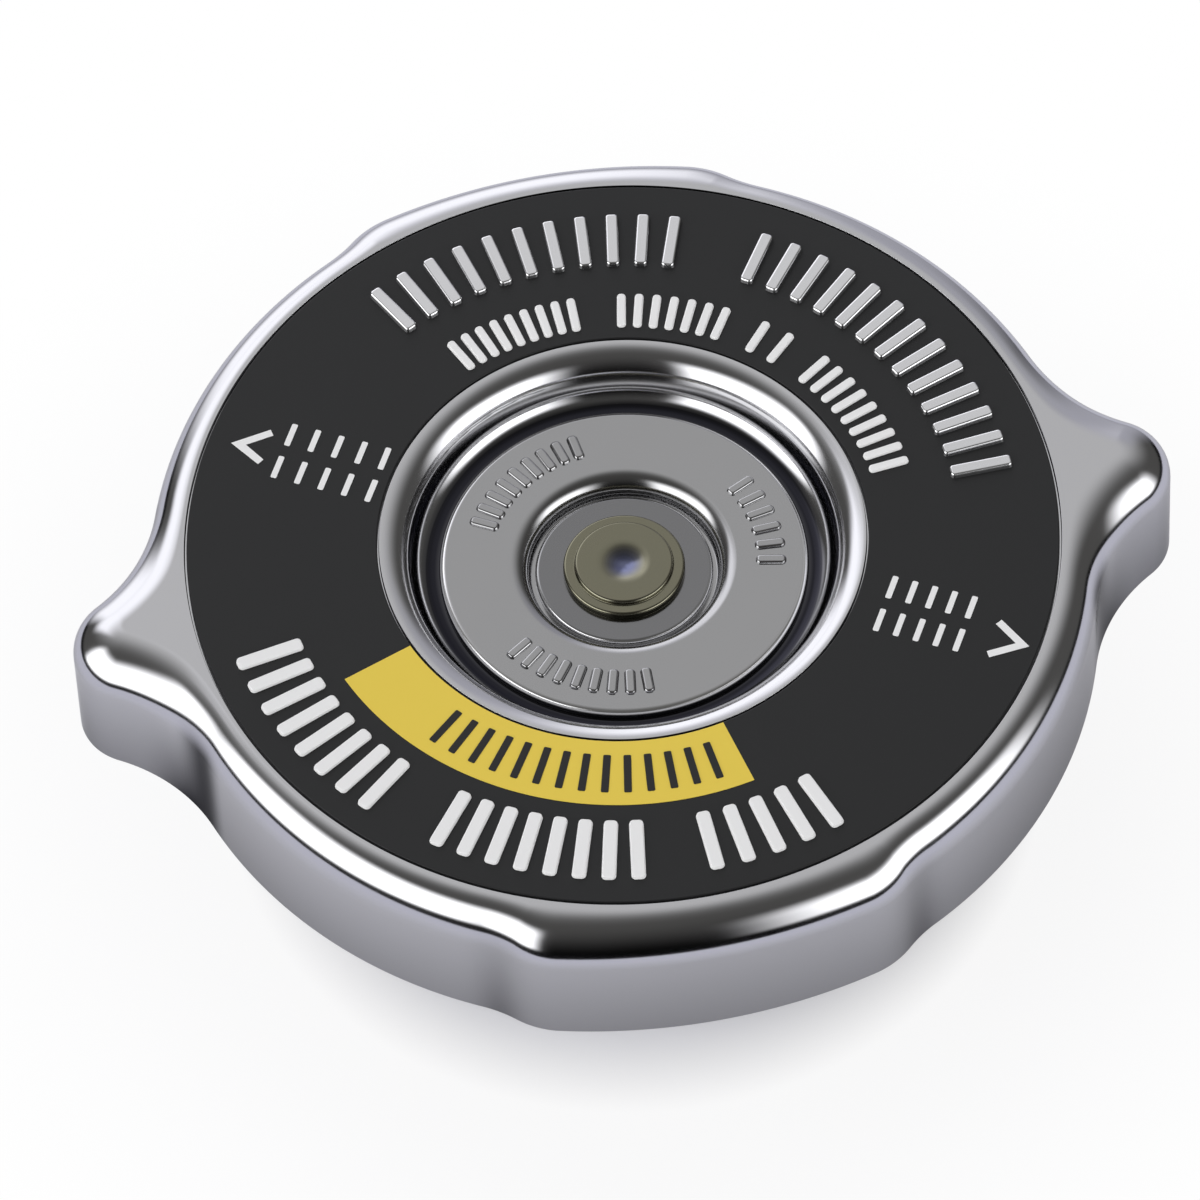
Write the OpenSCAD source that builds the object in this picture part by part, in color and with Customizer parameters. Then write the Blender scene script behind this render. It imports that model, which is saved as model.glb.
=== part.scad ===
// Radiator pressure cap: a stamped two-eared shell that turns on the rivet of a spring-loaded valve.
// Millimetres. Z is the axis of the cap, X runs through the two ears, Z = 0 is the lower sealing face.

/* [Shell outline] */
// Radius of the round skirt
shell_base_r = 31.1; // [30:0.1:34]
// How far an ear's tip stands out from the round skirt
ear_out = 5.45; // [4:0.05:9]
// Radius of the rounded tip of an ear
ear_nose_r = 3.9; // [3.7:0.1:5]
// Radius of the hollow that runs an ear into the skirt
ear_blend_r = 12; // [8:0.5:20]
// How far the middle of a grip lobe stands out from the round skirt
lobe_out = 0.45; // [0.3:0.05:1.2]
// Radius of the long face of a grip lobe
lobe_face_r = 40; // [36:0.5:50]
// Half the length of the long face of a grip lobe
lobe_half_l = 10.4; // [9:0.1:13]
// Radius of the rounded ends of a grip lobe
lobe_end_r = 6; // [4:0.1:8]
// Radius of the hollow that runs a grip lobe into the skirt
lobe_blend_r = 9; // [4:0.5:16]

/* [Shell section] */
// Thickness of the shell's sheet metal
sheet_t = 0.9; // [0.7:0.05:1.2]
// Height of the shell from rim to skirt edge
shell_h = 10.35; // [9:0.05:13]
// Height of the rounded rim
edge_h = 3; // [2:0.1:4]
// Greatest width of the rounded rim, on the ears
edge_w = 3.5; // [2.6:0.1:3.6]
// Softness of the change from the rim's width on the skirt to its width on the ears
edge_ease = 0.8; // [0.3:0.05:1.2]
// Width of the rim between the face plate's seat and the skirt
rim_w = 2.45; // [2.2:0.05:4]
// Flat land left between the face plate's seat and the rounded rim
rim_land = 0.05; // [0.02:0.01:0.2]
// Depth of the shallow seat for the face plate
plate_recess = 0.35; // [0.2:0.05:0.6]
// Radius of the roll over the edge of the well
lip_r = 2; // [1.5:0.1:2.4]
// Inside radius of the well's mouth
well_r = 13.9; // [12.8:0.1:15]
// Depth of the well's middle below the rim
well_depth = 4.8; // [4.2:0.1:5.6]
// Radius of the cove around the well's ledge
well_cove_r = 1.4; // [0.6:0.1:1.8]
// Lean of the well's wall, narrower towards its foot, in degrees
well_draft = 15; // [4:1:18]

/* [Cam lugs] */
// Half the angle that each cam lug takes up
lug_half_angle = 19; // [12:0.5:22]
// Thickness of a cam lug
lug_t = 0.9; // [0.7:0.05:1.3]
// Gap between the diaphragm's edge and the lugs
lug_gap = 0.8; // [0.5:0.1:1.5]

/* [Face plate] */
// Thickness of the face plate
plate_t = 0.4; // [0.25:0.05:0.7]
// Gap around the face plate
plate_gap = 0.15; // [0.1:0.05:0.3]

/* [Centre disc, washer and rivet] */
// Gap between the centre disc and the cove around it
disc_gap = 0.3; // [0.1:0.05:0.8]
// Gap between the wall of the disc's dip and the stepped floor that holds it
nest_gap = 0.2; // [0.1:0.05:0.4]
// Depth of the centre disc's face below the rim
disc_drop = 2.65; // [2.2:0.05:3.2]
// Thickness of the centre disc
disc_t = 0.6; // [0.4:0.05:0.8]
// Rounding of the centre disc's outer edge
disc_edge_r = 0.45; // [0.2:0.05:0.6]
// Radius of the dip in the middle of the centre disc
disc_dip_r = 6.25; // [5.8:0.05:7.6]
// Rounding of the lip of that dip
disc_lip_r = 1.2; // [0.5:0.05:1.3]
// Gap between the head washer and the wall of the dip
washer_gap = 0.4; // [0.2:0.05:0.6]
// Thickness of the head washer
washer_t = 0.6; // [0.4:0.05:0.9]
// Rounding of the head washer's upper edge
washer_edge_r = 0.3; // [0.1:0.05:0.35]
// Radius of the rivet's shank
rivet_r = 2.5; // [2:0.1:3]
// Running clearance around the rivet's shank
rivet_clear = 0.05; // [0.02:0.01:0.1]
// Radius of the rivet's head
head_r = 4; // [3.8:0.05:5]
// Height of the rivet's head
head_h = 0.85; // [0.6:0.05:1.2]
// Width of the step around the top of the rivet's head
head_step_w = 0.75; // [0.3:0.05:1]
// Height of that step
head_step_h = 0.3; // [0.15:0.05:0.4]
// Rounding of the shoulders of the rivet's head
head_round = 0.2; // [0.1:0.02:0.3]
// Radius of the dimple in the rivet's head
dimple_r = 1.6; // [0.8:0.05:2]
// Depth of the dimple in the rivet's head
dimple_h = 0.45; // [0.2:0.05:0.8]
// Radius of the rivet's spread end
clinch_r = 3.7; // [3.2:0.05:4.6]
// Height of the rivet's spread end
clinch_h = 0.8; // [0.5:0.05:1.2]
// Radius of the hole up the rivet's spread end
clinch_hole_r = 1.5; // [0.8:0.05:1.7]
// Depth of the hole up the rivet's spread end
clinch_hole_h = 2.2; // [1:0.1:2.6]
// Radius of the washer under the spread end
clinch_washer_r = 5.8; // [5.2:0.1:8]
// Thickness of the washer under the spread end
clinch_washer_t = 0.6; // [0.4:0.05:1]

/* [Diaphragm and upper gasket] */
// Distance from the lower sealing face to the upper one
seat_reach = 21; // [20:0.1:26]
// Thickness of the diaphragm
diaphragm_t = 0.35; // [0.2:0.05:0.5]
// Height of the step between the diaphragm's hub and its land
diaphragm_rise = 1.5; // [1:0.1:2]
// Depth of the turned-down edge of the diaphragm
diaphragm_hem = 0.6; // [0.3:0.05:1]
// Inside radius of the upper gasket
upper_gasket_in_r = 18.9; // [18.4:0.1:21]
// Outside radius of the upper gasket
upper_gasket_out_r = 25; // [24:0.1:26.4]
// Thickness of the upper gasket
upper_gasket_t = 1.4; // [1.1:0.05:2]

/* [Bell] */
// Outside radius of the bell
bell_r = 16.5; // [16.2:0.1:17.4]
// Thickness of the bell's sheet metal
bell_t = 0.6; // [0.4:0.05:0.8]
// Outside radius of the bell's shoulder and foot
bell_round = 1.6; // [1:0.1:2]
// Number of windows around the bell
window_count = 4; // [2:1:6]
// Width of a window
window_w = 11.5; // [6:0.5:12]
// Height of a window
window_h = 5; // [3:0.25:6]
// Height of a window's sill above the foot of the bell
window_sill = 2.6; // [2:0.1:3.4]

/* [Pressure valve] */
// Lift of the pressure valve
valve_travel = 4.5; // [3:0.1:5]
// Room left under the bell at full lift
lift_gap = 0.4; // [0.3:0.05:1]
// Outside radius of the valve cup's wall
cup_r = 12.5; // [12.3:0.05:12.8]
// Thickness of the valve cup's sheet metal
cup_t = 0.7; // [0.5:0.05:0.8]
// Gap between the valve cup's wall and the bell's foot
foot_gap = 0.5; // [0.4:0.05:0.8]
// Gap between the valve cup's flange and the rounding of the bell's foot
flange_gap = 0.15; // [0.1:0.05:0.6]
// Thickness of the lower gasket
gasket_t = 3.6; // [3.4:0.1:4.4]
// Outside radius of the lower gasket
gasket_out_r = 19.5; // [18.5:0.1:20.5]
// Radius of the hollow under the lower gasket
gasket_hollow_r = 13.6; // [13.4:0.1:15]
// Rounding of the lower gasket's sealing corners
gasket_round = 0.5; // [0.2:0.05:0.8]
// Thickness of the backing plate
backing_t = 0.8; // [0.5:0.05:1.1]
// Depth of the backing plate's turned-down rim
backing_rim = 2.2; // [1.4:0.1:2.8]
// Thickness of the gasket retainer
retainer_t = 0.7; // [0.5:0.05:0.8]
// Height of the retainer's flange above the lower sealing face
retainer_z = 1.8; // [1.7:0.05:2]
// Outside radius of the retainer's tube
retainer_tube_r = 8.4; // [8.2:0.05:8.5]
// Width of the retainer's rolled-over edge
retainer_roll = 0.5; // [0.3:0.05:0.6]
// Gap between the retainer's flange and the gasket around it
retainer_gap = 0.4; // [0.2:0.05:0.8]
// Thickness of the stem guide
guide_t = 0.6; // [0.4:0.05:0.8]
// Room between the stem guide and the retainer's rolled edge
guide_gap = 0.2; // [0.1:0.05:0.4]
// Radius of each port through the stem guide
port_r = 1.6; // [1:0.05:1.9]
// Number of ports through the stem guide
port_count = 4; // [3:1:5]
// Distance of the ports from the stem
port_ring_r = 5.2; // [4.8:0.05:5.6]

/* [Springs] */
// Wire thickness of the pressure spring
main_wire = 1.8; // [1.2:0.05:1.9]
// Mean radius of the pressure spring's coils
main_coil_r = 10.3; // [10.25:0.05:10.55]
// Turns of the pressure spring
main_turns = 4.5; // [3:0.25:4.5]
// Wire thickness of the vacuum spring
light_wire = 0.4; // [0.25:0.05:0.45]
// Mean radius of the vacuum spring's coils
light_coil_r = 2; // [1.7:0.05:2.4]
// Turns of the vacuum spring
light_turns = 3; // [2:0.25:3]
// Room left at each end of a spring
spring_room = 0.06; // [0.04:0.01:0.1]

/* [Vacuum valve] */
// Opening stroke of the vacuum valve
vacuum_travel = 1.8; // [1.2:0.1:1.8]
// Radius of the vacuum valve's disc
vacuum_disc_r = 10; // [9.8:0.05:11]
// Thickness of the vacuum valve's disc
vacuum_disc_t = 0.6; // [0.4:0.05:0.7]
// Thickness of the vacuum valve's rubber ring
vacuum_seal_t = 0.6; // [0.4:0.05:0.7]
// Width of the vacuum valve's rubber ring
vacuum_seal_w = 1.4; // [1:0.05:1.45]
// Radius of the stem
stem_r = 1.05; // [0.8:0.05:1.2]
// Running clearance around the stem
stem_clear = 0.08; // [0.03:0.01:0.1]
// Free length of the vacuum spring's room
light_room = 3.5; // [3.4:0.1:4.5]
// Radius of the keeper on the stem
keeper_r = 3; // [2.8:0.05:4]
// Thickness of the keeper on the stem
keeper_t = 0.5; // [0.3:0.05:0.8]
// Height of the stem above its keeper
stem_over = 0.5; // [0.3:0.05:1]

/* [Hidden] */
$fn = 96;
arc_steps = 6;

// Outline of the shell
ear_r = shell_base_r + ear_out;
lobe_mid_r = shell_base_r + lobe_out;
lobe_turn = asin(lobe_half_l / lobe_face_r);
nose_c = [ear_r - ear_nose_r, 0];
ear_blend_c = meet(shell_base_r + ear_blend_r, nose_c, ear_nose_r + ear_blend_r, 1);
lobe_c = [0, lobe_mid_r - lobe_face_r];
lobe_end_c = lobe_c + (lobe_face_r - lobe_end_r) * unit(90 - lobe_turn);
lobe_blend_c = meet(shell_base_r + lobe_blend_r, lobe_end_c, lobe_end_r + lobe_blend_r, -1);

// Heights, upwards from the lower sealing face
backing_z = gasket_t;
web_z = backing_z + backing_t;
guide_z = web_z + cup_t;
dome_z = guide_z + retainer_t + guide_gap;
foot_z = web_z + valve_travel + lift_gap;
flange_z = foot_z + bell_t;
keeper_z = dome_z + guide_t + light_room;
land_z = seat_reach + upper_gasket_t;
hub_z = land_z - diaphragm_rise;
roof_z = hub_z - bell_t;
well_under_z = hub_z + diaphragm_t;
well_floor_z = well_under_z + sheet_t;
rim_z = well_floor_z + well_depth;
skirt_z = rim_z - shell_h;
disc_z = rim_z - disc_drop;
ledge_z = disc_z - disc_t;
dip_z = well_floor_z + disc_t;
washer_z = dip_z;
head_z = washer_z + washer_t;

// Radii that follow from the sizes above
recess_r = shell_base_r - rim_w;
plate_out_r = recess_r - plate_gap;
plate_in_r = well_r + lip_r + plate_gap;
wall_h = rim_z - ledge_z - lip_r - well_cove_r;
well_foot_r = well_r + lip_r - (wall_h * sin(well_draft) + lip_r + well_cove_r) / cos(well_draft);
disc_r = well_foot_r - disc_gap;
dip_lip_r = min(disc_lip_r, disc_z - dip_z - 0.05);
disc_round = min(disc_edge_r, disc_t - 0.1);
nest_r = disc_dip_r + disc_t + nest_gap;
bore_r = rivet_r + rivet_clear;
washer_r = disc_dip_r - washer_gap;
hem_r = upper_gasket_out_r + diaphragm_t + plate_gap;
hub_r = max(well_r + sheet_t, bell_r - bell_round) + 0.4;
land_r = upper_gasket_in_r - 0.3;
lug_in_r = hem_r + lug_gap;
foot_r = cup_r + foot_gap;
flange_r = bell_r - bell_round - flange_gap;
retainer_r = gasket_hollow_r - retainer_gap;
tube_in_r = retainer_tube_r - retainer_t;
web_r = retainer_tube_r + 0.1;
roll_r = retainer_tube_r + retainer_roll;
guide_r = cup_r - cup_t - 0.3;
dome_r = main_coil_r - main_wire / 2 - 0.25;
seal_out_r = vacuum_disc_r - 0.2;
backing_r = gasket_out_r + 0.1 + backing_t;
stem_bore_r = stem_r + stem_clear;

cap_shell();
face_plate();
centre_disc();
head_washer();
rivet();
clinch_washer();
diaphragm();
upper_gasket();
bell();
pressure_spring();
valve_cup();
stem_guide();
backing_plate();
pressure_gasket();
gasket_retainer();
vacuum_valve();
vacuum_seal();
vacuum_spring();
stem_keeper();

// Direction at an angle in the plane
function unit(a) = [cos(a), sin(a)];

// Angle of a direction in the plane
function heading(v) = atan2(v[1], v[0]);

// Centre at distance da from the axis and distance db from point b, to the left or right of b
function meet(da, b, db, side) =
    let (d = norm(b), x = (da * da - db * db + d * d) / (2 * d), y = sqrt(da * da - x * x))
    x * unit(heading(b)) + side * y * unit(heading(b) + 90);

// The turn from angle a to angle b that is under half a circle
function turn(a, b) = ((b - a + 540) % 360) - 180;

// Points of an arc with the way out of the metal at each; side is -1 in a hollow
function rim_arc(c, r, a, b, n, side) =
    [for (i = [0 : n - 1]) let (t = a + turn(a, b) * i / n) [c + r * unit(t), side * unit(t)]];

// A quarter of the shell's outline, from the tip of an ear to the middle of a lobe
quarter = concat(
    rim_arc(nose_c, ear_nose_r, 0, heading(ear_blend_c - nose_c), 7, 1),
    rim_arc(ear_blend_c, ear_blend_r, heading(nose_c - ear_blend_c), heading(-ear_blend_c), 7, -1),
    rim_arc([0, 0], shell_base_r, heading(ear_blend_c), heading(lobe_blend_c), 11, 1),
    rim_arc(lobe_blend_c, lobe_blend_r, heading(-lobe_blend_c),
        heading(lobe_end_c - lobe_blend_c), 4, -1),
    rim_arc(lobe_end_c, lobe_end_r, heading(lobe_blend_c - lobe_end_c), 90 - lobe_turn, 5, 1),
    rim_arc(lobe_c, lobe_face_r, 90 - lobe_turn, 90, 5, 1),
    [[[0, lobe_mid_r], [0, 1]]]
);
last = len(quarter) - 1;
half = concat(
    [for (i = [0 : last - 1]) quarter[i]],
    [for (i = [last : -1 : 1]) [for (v = quarter[i]) [-v[0], v[1]]]]
);
outline = concat(half, [for (p = half) [-p[0], -p[1]]]);
count = len(outline);

// Width of the rounded rim at a point of the outline: the room outside the seat, and on the ears edge_w
function rim_at(p) =
    let (room = norm(p) - recess_r - rim_land, over = edge_w - room)
    edge_w - (over + sqrt(over * over + edge_ease * edge_ease)) / 2;

// One ring of the shell at a height, set in by a share of the rounded rim's width and by a fixed inset
function ring(share, inset, z) = [
    for (p = outline) let (q = p[0] - (share * rim_at(p[0]) + inset) * p[1]) [q[0], q[1], z]
];

// Points of a quarter round in a section, from angle a to angle b
function bend(c, r, a, b) = [for (i = [0 : arc_steps]) c + r * unit(a + (b - a) * i / arc_steps)];

// The shell's section: share of the rim's width, fixed inset, and height
section = concat(
    [for (p = bend([0, 0], 1, 90, 0)) [1 - p[0], 0, rim_z - edge_h + edge_h * p[1]]],
    [[0, 0, skirt_z], [0, sheet_t, skirt_z]],
    [for (p = bend([0, 0], 1, 0, 90)) [1 - p[0], sheet_t * p[0], rim_z - edge_h + (edge_h - sheet_t) * p[1]]]
);
rows = len(section);

module turned(points) {
    rotate_extrude() polygon(points);
}

module shell_skin() {
    points = concat(
        [for (s = section) for (p = ring(s[0], s[1], s[2])) p],
        [[0, 0, rim_z], [0, 0, rim_z - sheet_t]]
    );
    top = rows * count;
    polyhedron(points, concat(
        [for (i = [0 : count - 1]) [top, (i + 1) % count, i]],
        [for (k = [0 : rows - 2]) for (i = [0 : count - 1])
            [k * count + i, k * count + (i + 1) % count, (k + 1) * count + (i + 1) % count]],
        [for (k = [0 : rows - 2]) for (i = [0 : count - 1])
            [k * count + i, (k + 1) * count + (i + 1) % count, (k + 1) * count + i]],
        [for (i = [0 : count - 1])
            [top + 1, (rows - 1) * count + i, (rows - 1) * count + (i + 1) % count]]
    ));
}

// Seat of the face plate, roll and wall of the well, ledge under the disc and stepped floor
module shell_pan() {
    lip_c = [well_r + lip_r, rim_z - lip_r];
    cove_c = [well_foot_r, ledge_z + well_cove_r];
    seat_z = rim_z - plate_recess;
    slope_h = dip_lip_r - disc_t;
    turned(concat(
        [[recess_r + sheet_t / 2, seat_z - sheet_t], [recess_r + sheet_t / 2, seat_z]],
        [[well_r + lip_r, seat_z]],
        bend(lip_c, lip_r, 90, 180 - well_draft),
        bend(cove_c, well_cove_r, -well_draft, -90),
        [[nest_r + dip_lip_r, ledge_z], [nest_r, ledge_z - slope_h], [nest_r, well_floor_z]],
        [[bore_r, well_floor_z], [bore_r, well_under_z]],
        [[nest_r + sheet_t, well_under_z], [nest_r + sheet_t, ledge_z - sheet_t - slope_h]],
        [[nest_r + sheet_t + dip_lip_r, ledge_z - sheet_t]],
        bend(cove_c, well_cove_r + sheet_t, -90, -well_draft),
        bend(lip_c, lip_r - sheet_t, 180 - well_draft, 90),
        [[well_r + lip_r, seat_z - sheet_t]]
    ));
}

module cam_lugs() {
    for (side = [90, 270])
        rotate([0, 0, side - lug_half_angle])
            rotate_extrude(angle = 2 * lug_half_angle)
                translate([lug_in_r, skirt_z])
                    square([lobe_mid_r - sheet_t / 2 - lug_in_r, lug_t]);
}

module cap_shell() {
    color("silver") {
        difference() {
            shell_skin();
            translate([0, 0, rim_z - sheet_t - 1])
                cylinder(r = recess_r, h = sheet_t + 2);
        }
        shell_pan();
        cam_lugs();
    }
}

module face_plate() {
    color("#2e2f30")
        translate([0, 0, rim_z - plate_recess])
            difference() {
                cylinder(r = plate_out_r, h = plate_t);
                translate([0, 0, -1])
                    cylinder(r = plate_in_r, h = plate_t + 2);
            }
}

module centre_disc() {
    edge_c = [disc_r - disc_round, disc_z - disc_round];
    lip_c = [disc_dip_r + dip_lip_r, disc_z - dip_lip_r];
    color("gainsboro")
        turned(concat(
            [[bore_r, well_floor_z], [bore_r, dip_z], [disc_dip_r, dip_z]],
            bend(lip_c, dip_lip_r, 180, 90),
            bend(edge_c, disc_round, 90, 0),
            [[disc_r, ledge_z], [disc_dip_r + disc_t + dip_lip_r, ledge_z]],
            [[disc_dip_r + disc_t, disc_z - dip_lip_r], [disc_dip_r + disc_t, well_floor_z]]
        ));
}

module head_washer() {
    color("silver")
        turned(concat(
            [[bore_r, washer_z], [bore_r, head_z]],
            bend([washer_r - washer_edge_r, head_z - washer_edge_r], washer_edge_r, 90, 0),
            [[washer_r, washer_z]]
        ));
}

module rivet() {
    tip_z = roof_z - clinch_washer_t;
    top_z = head_z + head_h;
    step_z = top_z - head_step_h;
    step_r = head_r - head_step_w;
    top_round = min(head_round, head_step_h);
    ball_r = (dimple_r * dimple_r + dimple_h * dimple_h) / (2 * dimple_h);
    color("#8a8870")
        difference() {
            turned(concat(
                [[0, tip_z - clinch_h], [clinch_r - 0.4, tip_z - clinch_h]],
                [[clinch_r, tip_z - clinch_h + 0.4], [clinch_r, tip_z]],
                [[rivet_r, tip_z], [rivet_r, head_z], [head_r, head_z]],
                bend([head_r - head_round, step_z - head_round], head_round, 0, 90),
                bend([step_r - top_round, top_z - top_round], top_round, 0, 90),
                [[0, top_z]]
            ));
            translate([0, 0, top_z - dimple_h + ball_r])
                sphere(r = ball_r);
            translate([0, 0, tip_z - clinch_h - 1])
                cylinder(r = clinch_hole_r, h = clinch_hole_h + 1);
        }
}

module clinch_washer() {
    color("lightsteelblue")
        translate([0, 0, roof_z - clinch_washer_t])
            difference() {
                cylinder(r = clinch_washer_r, h = clinch_washer_t);
                translate([0, 0, -1])
                    cylinder(r = bore_r, h = clinch_washer_t + 2);
            }
}

module diaphragm() {
    color("lightsteelblue")
        turned([
            [bore_r, hub_z], [hub_r, hub_z], [land_r, land_z], [hem_r - diaphragm_t, land_z],
            [hem_r - diaphragm_t, land_z - diaphragm_hem], [hem_r, land_z - diaphragm_hem],
            [hem_r, land_z + diaphragm_t], [land_r, land_z + diaphragm_t],
            [hub_r, hub_z + diaphragm_t], [bore_r, hub_z + diaphragm_t]
        ]);
}

module upper_gasket() {
    color("#222222")
        translate([0, 0, seat_reach])
            difference() {
                cylinder(r = upper_gasket_out_r, h = upper_gasket_t);
                translate([0, 0, -1])
                    cylinder(r = upper_gasket_in_r, h = upper_gasket_t + 2);
            }
}

module bell() {
    shoulder_c = [bell_r - bell_round, hub_z - bell_round];
    foot_c = [bell_r - bell_round, foot_z + bell_round];
    color("#b5a15a")
        difference() {
            turned(concat(
                [[bore_r, roof_z], [bore_r, hub_z]],
                bend(shoulder_c, bell_round, 90, 0),
                bend(foot_c, bell_round, 0, -90),
                [[foot_r, foot_z], [foot_r, flange_z]],
                bend(foot_c, bell_round - bell_t, -90, 0),
                bend(shoulder_c, bell_round - bell_t, 0, 90)
            ));
            for (i = [0 : window_count - 1])
                rotate([0, 0, (i + 0.5) * 360 / window_count])
                    translate([0, -window_w / 2, foot_z + window_sill])
                        cube([bell_r + 1, window_w, window_h]);
        }
}

module valve_cup() {
    low_c = [cup_r - cup_t - 0.3, web_z + cup_t + 0.3];
    high_c = [cup_r + 0.3, flange_z - 0.3];
    color("#b5a15a")
        turned(concat(
            [[web_r, web_z]],
            bend(low_c, cup_t + 0.3, -90, 0),
            bend(high_c, 0.3, 180, 90),
            [[flange_r, flange_z], [flange_r, flange_z + cup_t]],
            bend(high_c, cup_t + 0.3, 90, 180),
            bend(low_c, 0.3, 0, -90),
            [[web_r, web_z + cup_t]]
        ));
}

module stem_guide() {
    color("lightsteelblue")
        difference() {
            turned([
                [stem_bore_r, dome_z], [dome_r - guide_t, dome_z], [dome_r, guide_z],
                [guide_r, guide_z], [guide_r, guide_z + guide_t], [dome_r + 0.1, guide_z + guide_t],
                [dome_r - guide_t + 0.1, dome_z + guide_t], [stem_bore_r, dome_z + guide_t]
            ]);
            for (i = [0 : port_count - 1])
                rotate([0, 0, (i + 0.5) * 360 / port_count])
                    translate([port_ring_r, 0, dome_z - 1])
                        cylinder(r = port_r, h = guide_t + 2);
        }
}

module backing_plate() {
    round_c = [backing_r - backing_t - 0.2, web_z - backing_t - 0.2];
    color("lightsteelblue")
        turned(concat(
            [[web_r, backing_z], [web_r, web_z]],
            bend(round_c, backing_t + 0.2, 90, 0),
            [[backing_r, web_z - backing_rim], [backing_r - backing_t, web_z - backing_rim]],
            bend(round_c, 0.2, 0, 90)
        ));
}

module pressure_gasket() {
    color("#222222")
        turned(concat(
            [[web_r, retainer_z + retainer_t], [gasket_hollow_r, retainer_z + retainer_t]],
            bend([gasket_hollow_r + gasket_round, gasket_round], gasket_round, 180, 270),
            bend([gasket_out_r - gasket_round, gasket_round], gasket_round, 270, 360),
            [[gasket_out_r, gasket_t - 0.3], [gasket_out_r - 0.3, gasket_t], [web_r, gasket_t]]
        ));
}

module gasket_retainer() {
    color("#b5a15a")
        turned([
            [tube_in_r, retainer_z], [retainer_r, retainer_z], [retainer_r, retainer_z + retainer_t],
            [retainer_tube_r, retainer_z + retainer_t], [retainer_tube_r, guide_z],
            [roll_r, guide_z], [roll_r, guide_z + retainer_t - 0.35],
            [roll_r - 0.35, guide_z + retainer_t], [tube_in_r + 0.35, guide_z + retainer_t],
            [tube_in_r, guide_z + retainer_t - 0.35]
        ]);
}

module vacuum_valve() {
    disc_low_z = retainer_z - vacuum_seal_t - vacuum_disc_t;
    tip_z = keeper_z + keeper_t + stem_over;
    color("#b5a15a")
        turned([
            [0, disc_low_z], [vacuum_disc_r, disc_low_z], [vacuum_disc_r, disc_low_z + vacuum_disc_t],
            [stem_r, disc_low_z + vacuum_disc_t], [stem_r, keeper_z + keeper_t],
            [stem_r + 0.4, keeper_z + keeper_t], [stem_r + 0.2, tip_z], [0, tip_z]
        ]);
}

module vacuum_seal() {
    color("#222222")
        translate([0, 0, retainer_z - vacuum_seal_t])
            difference() {
                cylinder(r = seal_out_r, h = vacuum_seal_t);
                translate([0, 0, -1])
                    cylinder(r = seal_out_r - vacuum_seal_w, h = vacuum_seal_t + 2);
            }
}

module stem_keeper() {
    color("silver")
        translate([0, 0, keeper_z])
            difference() {
                cylinder(r = keeper_r, h = keeper_t);
                translate([0, 0, -1])
                    cylinder(r = stem_r + 0.02, h = keeper_t + 2);
            }
}

// Height along a coil, as a share: flatter at both ends, where the coils close up
function closing(u) = u - 0.33 * sin(360 * u) / (2 * PI);

// A round wire wound into a coil between two heights
module coil(r, wire, turns, z0, z1, steps, sides) {
    low = z0 + spring_room + wire / 2;
    high = z1 - spring_room - wire / 2;
    n = round(turns * steps);
    points = [
        for (i = [0 : n]) for (k = [0 : sides - 1])
            let (a = 360 * turns * i / n, out = r + wire / 2 * cos(360 * k / sides))
            [out * cos(a), out * sin(a),
                low + (high - low) * closing(i / n) + wire / 2 * sin(360 * k / sides)]
    ];
    polyhedron(points, concat(
        [[for (k = [0 : sides - 1]) k]],
        [for (i = [0 : n - 1]) for (k = [0 : sides - 1])
            [i * sides + k, (i + 1) * sides + (k + 1) % sides, i * sides + (k + 1) % sides]],
        [for (i = [0 : n - 1]) for (k = [0 : sides - 1])
            [i * sides + k, (i + 1) * sides + k, (i + 1) * sides + (k + 1) % sides]],
        [[for (k = [sides - 1 : -1 : 0]) n * sides + k]]
    ));
}

module pressure_spring() {
    color("gray")
        coil(main_coil_r, main_wire, main_turns, guide_z + guide_t, roof_z, 26, 10);
}

module vacuum_spring() {
    color("gray")
        coil(light_coil_r, light_wire, light_turns, dome_z + guide_t, keeper_z, 18, 8);
}
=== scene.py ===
# %% [markdown]
# # A radiator pressure cap, drawn from formulas
#
# The cap is a stamped chromed shell with two ears, a black ring let into its top,
# and a riveted stack in a round well. Under the skirt hang the spring cage, the
# pressure valve and the small vacuum valve. Almost every piece is a turned part,
# so most of this notebook is one idea: a section with rounded corners, swept
# round the axis. The shell needs a second idea, a section swept along an outline.

# %% Load the fixed frame
import math

import bpy
import numpy as np
from mathutils import Matrix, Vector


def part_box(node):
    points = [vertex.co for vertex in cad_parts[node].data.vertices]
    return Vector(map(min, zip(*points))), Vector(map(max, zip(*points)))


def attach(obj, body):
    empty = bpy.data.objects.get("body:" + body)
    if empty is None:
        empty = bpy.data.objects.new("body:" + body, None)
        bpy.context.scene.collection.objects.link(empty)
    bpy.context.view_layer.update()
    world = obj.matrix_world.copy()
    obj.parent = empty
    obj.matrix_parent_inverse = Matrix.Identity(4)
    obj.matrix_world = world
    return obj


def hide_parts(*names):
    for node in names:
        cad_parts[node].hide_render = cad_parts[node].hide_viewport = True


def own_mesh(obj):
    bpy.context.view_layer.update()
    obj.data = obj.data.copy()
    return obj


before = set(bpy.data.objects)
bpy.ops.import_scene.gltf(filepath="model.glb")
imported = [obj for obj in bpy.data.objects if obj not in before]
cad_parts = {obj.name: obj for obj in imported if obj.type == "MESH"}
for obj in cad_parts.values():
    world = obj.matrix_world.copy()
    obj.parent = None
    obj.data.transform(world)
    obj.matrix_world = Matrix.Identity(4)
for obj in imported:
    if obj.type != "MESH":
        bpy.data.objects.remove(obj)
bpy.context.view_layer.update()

# %% [markdown]
# ## Sizes
#
# All lengths below are in millimetres and are the sizes of the solid model, so
# that a drawn piece lies exactly where the solid that it stands for lies.

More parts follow.
